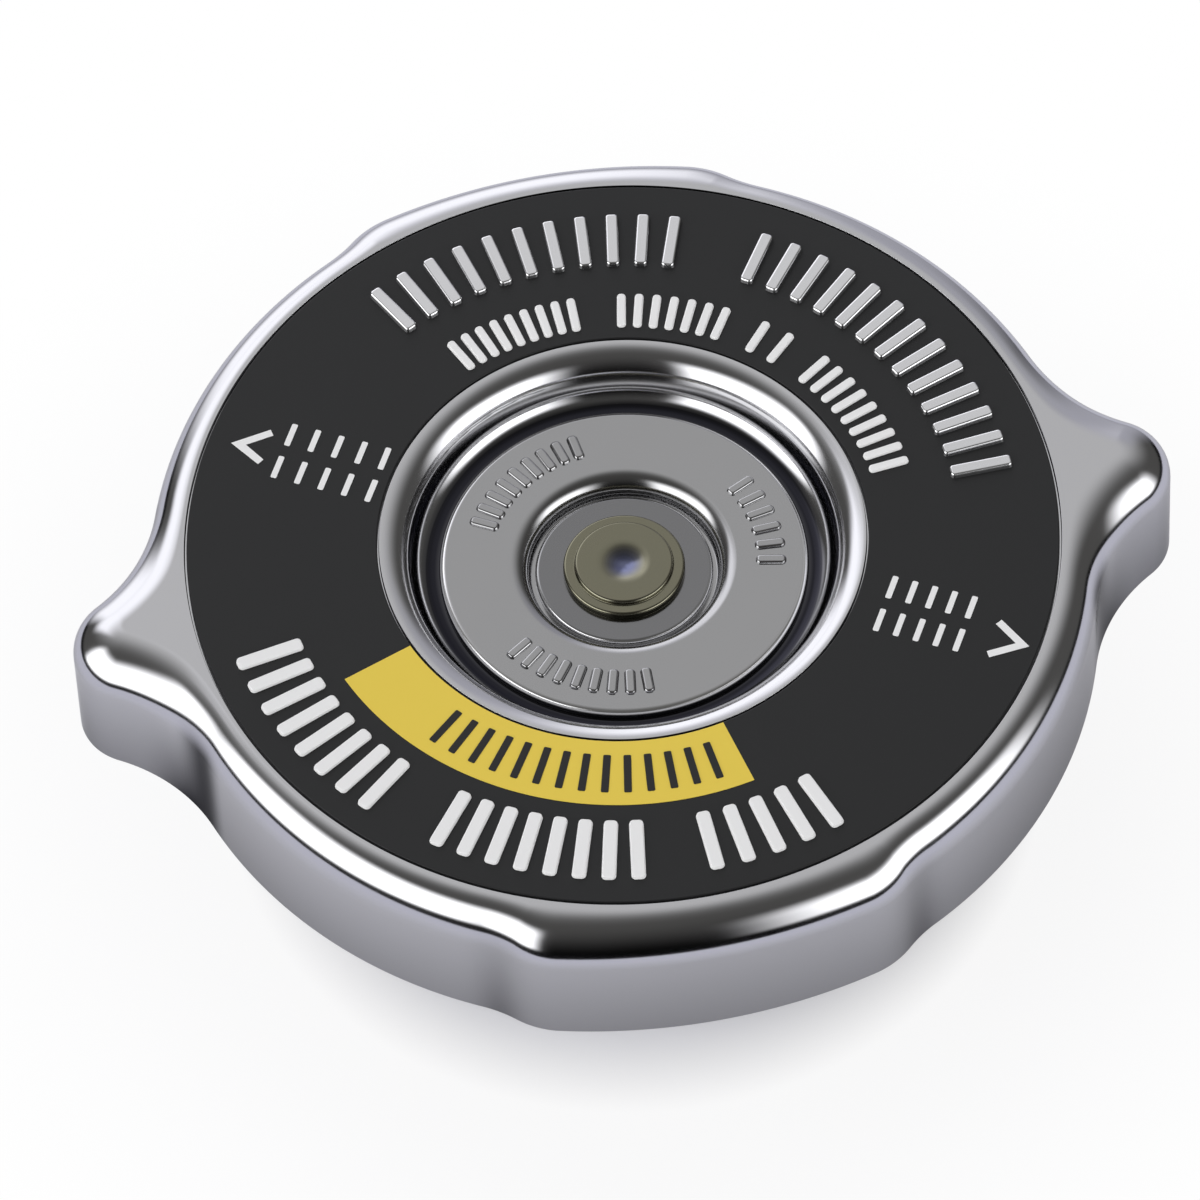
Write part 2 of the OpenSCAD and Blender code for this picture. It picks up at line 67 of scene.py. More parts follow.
# %% Sizes of the cap
MM = 0.001
rim_z, skirt_z = (float(v[2]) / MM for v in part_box("cap_shell")[::-1])
ear_r = float(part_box("cap_shell")[1][0]) / MM
sheet, base_r = 0.9, 31.1
seat_depth, plate_t, well_depth, disc_depth = 0.35, 0.4, 4.8, 2.65
disc_t, washer_t, head_h = 0.6, 0.6, 0.85
disc_gap, nest_gap, washer_gap = 0.3, 0.2, 0.4
seat_r, seat_z = 28.65, rim_z - seat_depth
plate_in, plate_r, plate_z = 16.05, 28.5, seat_z + plate_t
well_r, roll_r, cove_r = 13.9, 2.0, 1.4
draft = math.radians(15.0)
bend = math.tan(math.radians(45.0) - draft / 2)
floor_z = rim_z - well_depth
disc_z = rim_z - disc_depth
ledge_z = disc_z - disc_t
mouth_r = well_r + roll_r - roll_r * bend
foot_r = mouth_r - (rim_z - ledge_z) * math.tan(draft)
disc_r = foot_r - cove_r * bend - disc_gap
dip_r, dip_z, dip_lip = 6.25, floor_z + disc_t, 1.2
nest_r = dip_r + disc_t + nest_gap
head_z = dip_z + washer_t
rivet_top = head_z + head_h
bore_r = 2.55
print(f"rim at {rim_z:.2f} mm, skirt edge at {skirt_z:.2f} mm, ears reach {ear_r:.2f} mm")


# %% [markdown]
# ## Materials
#
# Each metal is a mirror with its own blur. A slow noise changes the blur a little
# from place to place, as handling and plating do, and a fine one roughens the skin.
# Some pieces carry a value at each point that blends their colour towards a second,
# painted one: painted shade in the shell's hollows, darker towards the skirt's foot and
# in the gap around the disc, a painted highlight on the edges of the disc and the washer,
# and a painted bluish reflection in the rivet's dish.

# %% Materials
skin_depth = 0.02 * MM


def ramp(value, low, high):
    """A soft step: 0 up to low, 1 from high on, and 3 t^2 - 2 t^3 between."""
    t = np.clip((value - low) / (high - low), 0.0, 1.0)
    return t * t * (3 - 2 * t)


def blended(tree, share, first, second):
    """A colour between two: first where share is 0, second where it is 1.

    Each of the two is a colour or another node's output.
    """
    mix = tree.nodes.new("ShaderNodeMix")
    mix.data_type = "RGBA"
    tree.links.new(share, mix.inputs["Factor"])
    ends = [s for s in mix.inputs if s.identifier in ("A_Color", "B_Color")]
    for socket, colour in zip(ends, (first, second)):
        if isinstance(colour, tuple):
            socket.default_value = (*colour, 1.0)
        else:
            tree.links.new(colour, socket)
    return next(s for s in mix.outputs if s.identifier == "Result_Color")


def finish(name, colour, metal, rough, spread=0.06, grain=500.0, bump=0.0, bump_grain=4000.0,
           shine=0.5, dull=None, grazing=None):
    """A procedural finish: roughness = rough + spread * (noise - 1/2), and a fine noise as bump.

    The last but one argument is a painted colour, laid on where the piece's own value at each
    point is 1: painted shade, a painted highlight or a painted reflection. grazing is the
    mirror's share at a low angle where nothing is painted, and where the painted shade lies.
    """
    mat = bpy.data.materials.new(name)
    mat.use_nodes = True
    tree = mat.node_tree
    shader = tree.nodes["Principled BSDF"]
    shader.inputs["Base Color"].default_value = (*colour, 1.0)
    shader.inputs["Metallic"].default_value = metal
    shader.inputs["Specular IOR Level"].default_value = shine
    place = tree.nodes.new("ShaderNodeTexCoord")
    noise = tree.nodes.new("ShaderNodeTexNoise")
    noise.inputs["Scale"].default_value = grain
    noise.inputs["Detail"].default_value = 3.0
    tree.links.new(place.outputs["Object"], noise.inputs["Vector"])
    blur = tree.nodes.new("ShaderNodeMapRange")
    blur.inputs["To Min"].default_value = max(rough - spread / 2, 0.0)
    blur.inputs["To Max"].default_value = rough + spread / 2
    tree.links.new(noise.outputs["Fac"], blur.inputs["Value"])
    tree.links.new(blur.outputs["Result"], shader.inputs["Roughness"])
    # Painted light: the piece's value at each point lays the painted colour over its own, and with grazing
    # the mirror's share at a low angle drops under the painted shade.
    if dull:
        hollow = tree.nodes.new("ShaderNodeAttribute")
        hollow.attribute_name = "dull"
        share = hollow.outputs["Fac"]
        tree.links.new(blended(tree, share, colour, dull), shader.inputs["Base Color"])
        if grazing:
            polished, painted_shade_grazing = ((v, v, v) for v in grazing)
            tree.links.new(blended(tree, share, polished, painted_shade_grazing), shader.inputs["Specular Tint"])
    if bump:
        fine = tree.nodes.new("ShaderNodeTexNoise")
        fine.inputs["Scale"].default_value = bump_grain
        tree.links.new(place.outputs["Object"], fine.inputs["Vector"])
        raised = tree.nodes.new("ShaderNodeBump")
        raised.inputs["Strength"].default_value = bump
        raised.inputs["Distance"].default_value = skin_depth
        tree.links.new(fine.outputs["Fac"], raised.inputs["Height"])
        tree.links.new(raised.outputs["Normal"], shader.inputs["Normal"])
    return mat


# The chrome's second colour is painted shade, near black: in its hollows, in the gap around the disc and
# towards the skirt's foot.
chrome = finish("polished_chrome", (0.50, 0.50, 0.515), 1.0, 0.12, spread=0.04, grain=300.0,
                dull=(0.022, 0.022, 0.028), grazing=(0.85, 0.4))
black = finish("satin_black", (0.010, 0.0103, 0.0107), 0.0, 0.45, bump=0.2, bump_grain=9000.0, shine=0.3)
# The disc's second colour is a painted highlight for its rounded edge.
satin = finish("satin_disc", (0.345, 0.345, 0.35), 1.0, 0.15, dull=(0.85, 0.85, 0.86))
# The washer's second colour is a painted highlight for its rounded edge.
plated = finish("plated_washer", (0.195, 0.195, 0.20), 1.0, 0.15, dull=(0.85, 0.85, 0.86))
# The rivet's second colour is a painted bluish reflection for the middle of its dish.
nickel = finish("dull_nickel", (0.185, 0.178, 0.13), 1.0, 0.18, dull=(0.12, 0.13, 0.21))
bright = finish("bright_marks", (0.64, 0.64, 0.65), 1.0, 0.22)
white = finish("white_enamel", (0.85, 0.85, 0.85), 0.0, 0.35)
yellow = finish("yellow_enamel", (0.80, 0.60, 0.075), 0.0, 0.40, shine=0.3)
ink = finish("black_ink", (0.012, 0.012, 0.012), 0.0, 0.45, shine=0.3)
rubber = finish("moulded_rubber", (0.020, 0.020, 0.021), 0.0, 0.60, spread=0.15, bump=0.5,
                bump_grain=2500.0)
brass = finish("drawn_brass", (0.60, 0.45, 0.18), 1.0, 0.25, spread=0.10)
steel = finish("bright_steel", (0.52, 0.53, 0.55), 1.0, 0.28, spread=0.10)
wire = finish("spring_wire", (0.42, 0.43, 0.44), 1.0, 0.30, spread=0.10)
print("materials", len(bpy.data.materials))


# %% [markdown]
# ## Surfaces on a grid
#
# A surface is a table of points, rows by columns, with a direction at each point
# for the light. Rows and columns can close on themselves, as on a ring. A part is
# its points, its directions and a list of face tables, with four corners or three.

# %% Grid surfaces
def grid_faces(rows, cols, close_rows, close_cols):
    """Quads between neighbours of a rows x cols table, with wrap-around where asked."""
    i = np.arange(rows if close_rows else rows - 1)
    j = np.arange(cols if close_cols else cols - 1)
    i, j = np.meshgrid(i, j, indexing="ij")
    i2, j2 = (i + 1) % rows, (j + 1) % cols
    return np.stack([i * cols + j, i2 * cols + j, i2 * cols + j2, i * cols + j2], -1).reshape(-1, 4)


def fan(ring, tip):
    """Triangles from a closed ring of point numbers to one point."""
    return np.column_stack([np.full(len(ring), tip), ring, np.roll(ring, -1)])


def joined(parts):
    """Several (points, directions, faces) as one, with the faces counted on."""
    starts = np.cumsum([0] + [len(p) for p, _, _ in parts])
    faces = [f + s for (_, _, tables), s in zip(parts, starts) for f in tables]
    return np.concatenate([p for p, _, _ in parts]), np.concatenate([w for _, w, _ in parts]), faces


def outward(points, ways, table):
    """The face table with each face turned to agree with the given directions."""
    p = points[table]
    own = np.cross(p[:, 2] - p[:, 0], p[:, -1] - p[:, 1]) if table.shape[1] == 4 else \
        np.cross(p[:, 1] - p[:, 0], p[:, 2] - p[:, 0])
    against = (own * ways[table].mean(1)).sum(-1) < 0
    return np.where(against[:, None], table[:, ::-1], table)


def piece(name, parts, body, mat, replaces=None, dull=None):
    """A mesh object from surface parts in millimetres, riding on a body of the frame."""
    points, ways, tables = joined(parts)
    faces = [face for table in tables for face in outward(points, ways, table).tolist()]
    mesh = bpy.data.meshes.new(name)
    mesh.from_pydata((points * MM).tolist(), [], faces)
    mesh.polygons.foreach_set("use_smooth", np.ones(len(mesh.polygons), bool))
    mesh.normals_split_custom_set_from_vertices(ways.tolist())
    # The piece's value at each point for the painted light in its finish: painted shade, a painted
    # highlight or a painted reflection.
    if dull is not None:
        mesh.attributes.new("dull", "FLOAT", "POINT").data.foreach_set("value", dull.astype(np.float32))
    mesh.materials.append(mat)
    mesh.update()
    obj = bpy.data.objects.new(name, mesh)
    bpy.context.scene.collection.objects.link(obj)
    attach(obj, body)
    if replaces:
        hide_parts(replaces)
    print(f"{name}: {len(points)} points, {len(faces)} faces")
    return obj


# %% [markdown]
# ## Sections with rounded corners
#
# A section is a list of corners, each with its own rounding. Where two edges meet,
# the rounding is the arc that touches both, and the way out of the metal turns
# evenly along it. Real sheet metal has no sharp edge, and the thin line of light
# along a rounded one is much of what makes metal look like metal.

# %% Sections
def rounded(corners, steps=7, closed=True):
    """Points and ways out along a polygon whose corner k is the arc of radius corners[k][2].

    An arc has the given number of points, and a tiny one has three.
    """
    least_r, tiny_r = 0.01, 0.15
    c = np.array([k[:2] for k in corners], float)
    n = len(c)
    points, ways = [], []
    for k in range(n):
        if not closed and k in (0, n - 1):
            d = c[1] - c[0] if k == 0 else c[n - 1] - c[n - 2]
            points.append(c[k])
            ways.append(np.array([d[1], -d[0]]) / np.linalg.norm(d))
            continue
        a, b = c[k] - c[k - 1], c[(k + 1) % n] - c[k]
        a, b = a / np.linalg.norm(a), b / np.linalg.norm(b)
        angle = math.atan2(a[0] * b[1] - a[1] * b[0], a @ b)
        side = 1.0 if angle > 0 else -1.0
        r = max(corners[k][2], least_r)
        way = np.array([a[1], -a[0]])
        centre = c[k] - a * r * math.tan(abs(angle) / 2) - side * r * way
        t = np.linspace(0.0, angle, steps if r >= tiny_r else 3)[:, None]
        turned_way = np.cos(t) * way + np.sin(t) * np.array([-way[1], way[0]])
        points.extend(centre + side * r * turned_way)
        ways.extend(turned_way)
    return np.array(points), np.array(ways)


def turned(corners, steps=7, around=192, closed=True, start=0.0, sweep=360.0):
    """A section turned about Z: x = r cos a, y = r sin a. An open section ends on the axis."""
    p, w = rounded(corners, steps, closed)
    whole = abs(sweep - 360.0) < 1e-6
    a = np.radians(start + sweep * np.arange(around + (0 if whole else 1)) / around)
    ring = np.stack([np.cos(a), np.sin(a)], -1)
    row = slice(None) if closed else slice(1, -1)
    pr, wr = p[row], w[row]
    rows, cols = len(pr), len(a)
    points = np.concatenate([pr[:, None, :1] * ring, np.broadcast_to(pr[:, None, 1:], (rows, cols, 1))], -1)
    ways = np.concatenate([wr[:, None, :1] * ring, np.broadcast_to(wr[:, None, 1:], (rows, cols, 1))], -1)
    table = points
    points, ways = points.reshape(-1, 3), ways.reshape(-1, 3)
    faces = [grid_faces(rows, cols, closed, whole)]
    if not closed:
        tips = np.array([[0, 0, p[0, 1]], [0, 0, p[-1, 1]]])
        first = np.arange(cols)
        faces += [fan(first, rows * cols), fan((rows - 1) * cols + first, rows * cols + 1)]
        points = np.vstack([points, tips])
        ways = np.vstack([ways, [[0, 0, np.sign(w[0, 1])], [0, 0, np.sign(w[-1, 1])]]])
    if whole:
        return points, ways, faces
    parts = [(points, ways, faces)]
    for j, sign in ((0, -1.0), (cols - 1, 1.0)):
        end = table[:, j]
        way = sign * np.array([-math.sin(a[j]), math.cos(a[j]), 0.0])
        end = np.vstack([end, end.mean(0)])
        parts.append((end, np.tile(way, (rows + 1, 1)), [fan(np.arange(rows), rows)]))
    return joined(parts)


# %% [markdown]
# ## The outline of the shell
#
# Seen from above, the shell is a circle with two ears and two shallow grip lobes.
# Every run of the outline is an arc, and each arc touches the next, so that the
# skirt has no kink. The hollow beside an ear is found as the circle that touches
# both the skirt's circle and the ear's round tip from outside.

# %% Outline
def meet(da, b, db, side):
    """The point at distance da from the axis and db from b, left (1) or right (-1) of b."""
    d = np.linalg.norm(b)
    x = (da * da - db * db + d * d) / (2 * d)
    y = side * math.sqrt(da * da - x * x)
    u = b / d
    return x * u + y * np.array([-u[1], u[0]])


def arc(centre, r, a, b, n, side):
    """n points of an arc from heading a to heading b, with the way out (side -1 in a hollow)."""
    turn = (b - a + math.pi) % (2 * math.pi) - math.pi
    t = a + turn * np.arange(n) / n
    u = np.stack([np.cos(t), np.sin(t)], -1)
    return centre + r * u, side * u


def heading(v):
    """Angle of a direction in the plane."""
    return math.atan2(v[1], v[0])


def shell_outline():
    """Points, ways out and painted shade of the skirt's top and edge: a quarter, mirrored twice."""
    nose_r, blend_r = 3.9, 12.0
    lobe_out, face_r, half_l = 0.45, 40.0, 10.4
    end_r, hollow_r = 6.0, 9.0
    nose = np.array([ear_r - nose_r, 0.0])
    blend = meet(base_r + blend_r, nose, nose_r + blend_r, 1)
    lean = math.asin(half_l / face_r)
    lobe = np.array([0.0, base_r + lobe_out - face_r])
    end = lobe + (face_r - end_r) * np.array([math.sin(lean), math.cos(lean)])
    hollow = meet(base_r + hollow_r, end, end_r + hollow_r, -1)
    q = math.pi / 2
    runs = [
        arc(nose, nose_r, 0.0, heading(blend - nose), 24, 1),
        arc(blend, blend_r, heading(nose - blend), heading(-blend), 24, -1),
        arc(np.zeros(2), base_r, heading(blend), heading(hollow), 44, 1),
        arc(hollow, hollow_r, heading(-hollow), heading(end - hollow), 14, -1),
        arc(end, end_r, heading(hollow - end), q - lean, 14, 1),
        arc(lobe, face_r, q - lean, q, 20, 1),
    ]
    p = np.concatenate([r[0] for r in runs] + [[[0.0, base_r + lobe_out]]])
    w = np.concatenate([r[1] for r in runs] + [[[0.0, 1.0]]])
    place = np.cumsum(np.linalg.norm(np.diff(p, axis=0, prepend=p[:1]), axis=1))
    starts = np.cumsum([0] + [len(r[0]) for r in runs])
    # Painted shade by millimetres along the outline: dark stripes beside an ear and at a
    # lobe's end, and the skirt darker towards its foot all round
    past_ear = place - place[starts[2]]
    ear_end = 1 - ramp(past_ear, -0.3, 1.8)
    lobe_end = np.exp(-((place - (place[starts[3]] + place[starts[4]]) / 2) / 1.5) ** 2)
    top = 0.85 * ramp(past_ear, -3.8, -0.8) * ear_end + 0.15 * lobe_end
    low = 0.30 + 0.10 * ear_end + 0.54 * ramp(past_ear, -7.0, -2.2) * ear_end + 0.30 * lobe_end
    d = np.column_stack([top, low])
    flip = np.array([-1.0, 1.0])
    p = np.concatenate([p[:-1], p[:0:-1] * flip])
    w = np.concatenate([w[:-1], w[:0:-1] * flip])
    d = np.concatenate([d[:-1], d[:0:-1]])
    return np.concatenate([p, -p]), np.concatenate([w, -w]), np.concatenate([d, d])


line, line_way, line_painted_shade = shell_outline()
print(f"outline of {len(line)} points, {np.ptp(line[:, 0]):.2f} by {np.ptp(line[:, 1]):.2f} mm")


# %% [markdown]
# ## The shell
#
# One pressed sheet: skirt, rounded rim, shallow seat for the black ring, roll, well,
# ledge and stepped floor. The section is closed, up one side of the sheet and back
# along the other. Outside the seat it follows the outline, inside it is round.
# The rim is a quarter of an ellipse, and it is wider on the ears, where there is
# room for it. The light's directions on it are worked out from how the surface
# runs along the outline and across it.

# %% Shell
def rim_width():
    """The rim's width at each point: the room outside the seat, softly held under the widest."""
    widest, margin, softness = 3.5, 0.05, 0.64
    over = widest - (np.linalg.norm(line, axis=1) - seat_r - margin)
    return widest - (over + np.sqrt(over * over + softness)) / 2


def rim_rows(width, thick, angles):
    """Rows of the rounded rim: set in by width (1 - cos t), height edge sin t, and their directions."""
    edge = 3.0
    t = np.radians(angles)[:, None, None]
    inset = width[:, None] * (1 - np.cos(t)) + thick * np.cos(t)
    flat = line - inset * line_way
    z = rim_z - edge + (edge - thick) * np.sin(t) + 0 * flat[..., :1]
    points = np.concatenate([flat, z], -1)
    along = np.roll(points, -1, 1) - np.roll(points, 1, 1)
    down = (width[:, None] - thick) * np.sin(t) * line_way
    across = np.concatenate([down, -(edge - thick) * np.cos(t) + 0 * flat[..., :1]], -1)
    ways = np.cross(across, along)
    return points, ways / np.linalg.norm(ways, axis=-1, keepdims=True)


def shell():
    """The sheet's section, swept: outer rows follow the outline, inner rows are circles."""
    under, below, n = floor_z - sheet, ledge_z - sheet, len(line)
    ring = line / np.linalg.norm(line, axis=1, keepdims=True)
    roll_out, aside = well_r + roll_r + 0.02, sheet * bend
    fine, soft = 0.05, 0.1
    step_in, step_out, seat_back, lead = 0.38, 0.78, 28.0, 0.4
    well = [
        (seat_r + lead, rim_z, 0.01), (seat_r, rim_z, 0.03), (seat_r, seat_z, fine),
        (roll_out, seat_z, fine), (roll_out, rim_z, 0.02), (mouth_r, rim_z, roll_r),
        (foot_r, ledge_z, cove_r), (nest_r + dip_lip, ledge_z, fine),
        (nest_r, ledge_z + disc_t - dip_lip, fine), (nest_r, floor_z, fine),
        (bore_r, floor_z, fine), (bore_r, under, fine),
    ]
    back = [
        (bore_r, under, fine), (nest_r + sheet, under, fine),
        (nest_r + sheet, below + disc_t - dip_lip, fine),
        (nest_r + sheet + dip_lip, below, fine), (foot_r + aside, below, cove_r + sheet),
        (mouth_r + aside, rim_z - sheet, roll_r - sheet), (roll_out + step_in, rim_z - sheet, soft),
        (roll_out + step_out, seat_z - sheet, soft), (seat_back, seat_z - sheet, soft),
        (seat_back + lead, rim_z - sheet, soft),
    ]
    top_p, top_w = (v[1:-1] for v in rounded(well, 11, closed=False))
    low_p, low_w = (v[1:-1] for v in rounded(back, 8, closed=False))

    def circles(p, w):
        """Rows of circles through the section's points, and their ways out."""
        up = np.ones((1, n, 1))
        return (np.concatenate([p[:, None, :1] * ring, p[:, None, 1:] * up], -1),
                np.concatenate([w[:, None, :1] * ring, w[:, None, 1:] * up], -1))

    hem_r, low = 0.22, []
    for t in np.radians(np.linspace(0, -180, 11)):
        inset = sheet / 2 - (sheet / 2 - hem_r) * np.sign(np.cos(t).round(6)) - hem_r * math.cos(t)
        flat = np.column_stack([line - inset * line_way, np.full(n, skirt_z + hem_r + hem_r * math.sin(t))])
        low.append((flat, np.column_stack([math.cos(t) * line_way, np.full(n, math.sin(t))])))
    hem = np.stack([p for p, _ in low]), np.stack([w for _, w in low])
    width, angles = rim_width(), np.linspace(90, 0, 21)
    outer = rim_rows(width, 0.0, angles)
    inner_p, inner_w = rim_rows(width, sheet, np.linspace(0, 90, 9))
    top, low = circles(top_p[::-1], top_w[::-1]), circles(low_p[::-1], low_w[::-1])
    blocks = [top, outer, hem, (inner_p, -inner_w), low]
    points = np.concatenate([p for p, _ in blocks])
    ways = np.concatenate([w for _, w in blocks])
    # Painted shade: near black on the ledge and the flatter part of the cove around the disc; on the rim's
    # lower part and the skirt's foot, the stripes and darkening from the outline.
    dull = [np.zeros((len(p), n)) for p, _ in blocks]
    tilt = np.degrees(np.arccos(np.clip(top_w[:, 1], -1, 1)))
    gap = (top_p[:, 0] > disc_r - 0.5) & (top_p[:, 0] < foot_r) & (top_p[:, 1] < ledge_z + cove_r)
    level, steep, fade = 20, 44, 40
    dull[0] += (gap * (1 - ramp(tilt, level, steep)))[::-1, None]
    dull[1] += ramp(-angles, -fade, 0)[:, None] * line_painted_shade[:, 0]
    dull[2] += line_painted_shade[:, 1]
    faces = [grid_faces(len(points), n, True, True)]
    return (points.reshape(-1, 3), ways.reshape(-1, 3), faces), np.concatenate(dull).ravel()


lug_in, lug_out, lug_top, lug_span = 26.3, 31.0, skirt_z + sheet, 38.0
lug = [(lug_in, skirt_z, 0.2), (lug_out, skirt_z, 0.1), (lug_out, lug_top, 0.1), (lug_in, lug_top, 0.2)]
lugs = [turned(lug, steps=5, around=40, start=side - lug_span / 2, sweep=lug_span)
        for side in (90.0, 270.0)]
# The shell's painted shade rides on it as a value at each point; the lugs get none.
shell_part, shell_painted_shade = shell()
shell_painted_shade = np.concatenate([shell_painted_shade, *(np.zeros(len(part[0])) for part in lugs)])
piece("shell", [shell_part, *lugs], "shell", chrome, replaces="cap_shell",
      dull=shell_painted_shade)

# %% [markdown]
# ## The black ring and the riveted stack
#
# These are plain turned parts: the ring in its seat, the pressed disc with a dip,
# the washer in the dip, and the rivet, whose stepped head has a shallow dish.

# %% Face, disc, washer, rivet
ring_section = [
    (plate_in, seat_z, 0.03), (plate_r, seat_z, 0.03), (plate_r, plate_z, 0.08), (plate_in, plate_z, 0.08),
]
piece("face_ring", [turned(ring_section, around=256)], "shell", black,
      replaces="face_plate")

disc_section = [
    (bore_r, floor_z, 0.03), (dip_r + disc_t, floor_z, 0.03), (dip_r + disc_t, disc_z - dip_lip, 0.05),
    (dip_r + disc_t + dip_lip, ledge_z, 0.05), (disc_r, ledge_z, 0.05), (disc_r, disc_z, 0.45),
    (dip_r, disc_z, dip_lip), (dip_r, dip_z, 0.2), (bore_r, dip_z, 0.03),
]
disc = turned(disc_section, steps=11)
# Painted highlight: a light line on the disc's rounded outer edge.
disc_painted_highlight = ramp(np.hypot(disc[0][:, 0], disc[0][:, 1]), disc_r - 0.4, disc_r - 0.25)
disc_painted_highlight *= 1 - ramp(disc_z - disc[0][:, 2], 0.2, 0.4)
piece("pressed_disc", [disc], "shell", satin, replaces="centre_disc", dull=disc_painted_highlight)

washer_r = dip_r - washer_gap
washer_section = [
    (bore_r, dip_z, 0.03), (washer_r, dip_z, 0.05), (washer_r, head_z, 0.28), (bore_r, head_z, 0.03),
]
washer = turned(washer_section, steps=9)
# Painted highlight: a light line on the washer's rounded edge.
washer_painted_highlight = ramp(np.hypot(washer[0][:, 0], washer[0][:, 1]), washer_r - 0.22, washer_r - 0.1)
piece("washer_under_head", [washer], "shell", plated, replaces="head_washer",
      dull=washer_painted_highlight)

tip_z, tip_h, tube_h = 19.7, 0.8, 1.4
tube_r, shank_r, crown_r, clinch_r, flange_r = 1.5, 2.5, 3.25, 3.7, 4.0
shoulder_z = rivet_top - 0.3
dish_r, dish_h = 1.75, 0.42
out = np.arange(8, 0, -1) / 8
depth = dish_h * (1 + np.cos(math.pi * out)) / 2
dish = [(dish_r * u, rivet_top - h, 2.0) for u, h in zip(out, depth)]
rivet_section = [
    (0.0, tip_z + tube_h, 0), (tube_r, tip_z + tube_h, 0.1), (tube_r, tip_z - tip_h, 0.2),
    (clinch_r, tip_z - tip_h, 0.4), (clinch_r, tip_z, 0.05), (shank_r, tip_z, 0.05),
    (shank_r, head_z, 0.05), (flange_r, head_z, 0.05), (flange_r, shoulder_z, 0.2),
    (crown_r, shoulder_z, 0.05), (crown_r, rivet_top, 0.2), *dish, (0.0, rivet_top - dish_h, 0),
]
rivet = turned(rivet_section, steps=9, closed=False)
# Painted reflection: bluish dark in the middle of the rivet's dish.
dish_painted_reflection = 1 - ramp(np.hypot(rivet[0][:, 0], rivet[0][:, 1]), 0.4, 1.5)
piece("rivet_body", [rivet], "cage", nickel, replaces="rivet", dull=dish_painted_reflection)


# %% [markdown]
# ## Raised marks
#
# The face carries raised ticks, as on a dial. A tick is a rounded rectangle whose
# wall leans in a little and whose top edge is rounded. Its rows are the same
# outline set in step by step, and its columns run round that outline.

# %% Marks
def pad(cx, cy, angle, half_l, half_w, round_r, z, height, edge=0.1):
    """A raised rounded rectangle: rows set in from the outline, closed by a flat top and foot."""
    t = np.radians(np.concatenate([q + np.linspace(0, 90, 6) for q in (0, 90, 180, 270)]))
    way = np.stack([np.cos(t), np.sin(t)], -1)
    quadrant = np.repeat([[1, 1], [-1, 1], [-1, -1], [1, -1]], 6, axis=0)
    corner = quadrant * (half_l - round_r, half_w - round_r)
    lean = 0.12 * height
    section = [(0.0, 0.0, 0.0, -1.0), (0.0, 0.0, 0.96, 0.28), (lean, height - edge, 0.96, 0.28)]
    for q in np.radians([30, 60, 90]):
        c, s = math.cos(q), math.sin(q)
        section.append((lean + edge * (1 - c), height - edge + edge * s, c, s))
    spin = np.array([[math.cos(angle), math.sin(angle)], [-math.sin(angle), math.cos(angle)]])
    points, ways = [], []
    for inset, h, out, up in section:
        flat = (corner + (round_r - inset) * way) @ spin + (cx, cy)
        points.append(np.column_stack([flat, np.full(len(t), z + h)]))
        ways.append(np.column_stack([out * way @ spin, np.full(len(t), up)]))
    rows, cols = len(section), len(t)
    points = np.concatenate(points + [[[cx, cy, z], [cx, cy, z + height]]])
    ways = np.concatenate(ways + [[[0.0, 0.0, -1.0], [0.0, 0.0, 1.0]]])
    ring = np.arange(cols)
    walls = grid_faces(rows, cols, False, True)[cols:]
    return points, ways, [walls, fan(ring, rows * cols), fan((rows - 1) * cols + ring, rows * cols + 1)]


def polar(r, degrees):
    """A point of the face from its distance and its angle."""
    return r * np.array([math.cos(math.radians(degrees)), math.sin(math.radians(degrees))])


def arc_ticks(groups, r_in, r_out, width, z, height, round_r, edge=0.1):
    """Ticks that point at the axis: for each group (first angle, last angle, count), evenly spaced."""
    half = (r_out - r_in) / 2
    return [pad(*polar((r_in + r_out) / 2, a), math.radians(a), half, width / 2, round_r, z, height, edge)
            for first, last, count in groups for a in np.linspace(first, last, count)]


upper = [(118.0, 71.0, 11), (57.0, 1.0, 13)]
inner = [(114.5, 89.0, 9), (79.0, 58.0, 7), (49.5, 44.0, 2), (35.0, 6.0, 9)]
lower = [(-170.0, -140.0, 8), (-128.0, -99.0, 8), (-88.0, -70.0, 5)]
upper_ticks = arc_ticks(upper, r_in=21.9, r_out=26.1, width=0.95, z=plate_z, height=0.34, round_r=0.3,
                        edge=0.16)
inner_ticks = arc_ticks(inner, r_in=16.9, r_out=19.6, width=0.6, z=plate_z, height=0.2, round_r=0.25)
lower_ticks = arc_ticks(lower, r_in=22.3, r_out=26.8, width=0.95, z=plate_z, height=0.24, round_r=0.3)
piece("upper_ticks", upper_ticks, "shell", bright)
piece("inner_ticks", inner_ticks, "shell", white)
piece("lower_ticks", lower_ticks, "shell", white)

# %% [markdown]
# ## Printed fields
#
# A yellow field, two white arrow heads with short ticks behind them, each a film of
# paint a few hundredths of a millimetre thick.

# %% Printed fields
film, film_edge, stroke = 0.03, 0.01, 0.5
film_z = plate_z + film
field_in, field_r = 16.12, 21.05
field = [
    (field_in, plate_z, film_edge), (field_r, plate_z, film_edge), (field_r, film_z, film_edge),
    (field_in, film_z, film_edge),
]
piece("yellow_field", [turned(field, steps=2, around=80, start=-160.0, sweep=82.5)], "shell", yellow)
field_ticks = arc_ticks([(-139.0, -83.0, 14)], r_in=17.2, r_out=20.1, width=stroke, z=film_z, height=film,
                        round_r=0.1, edge=film_edge)
piece("yellow_field_ticks", field_ticks, "shell", ink)


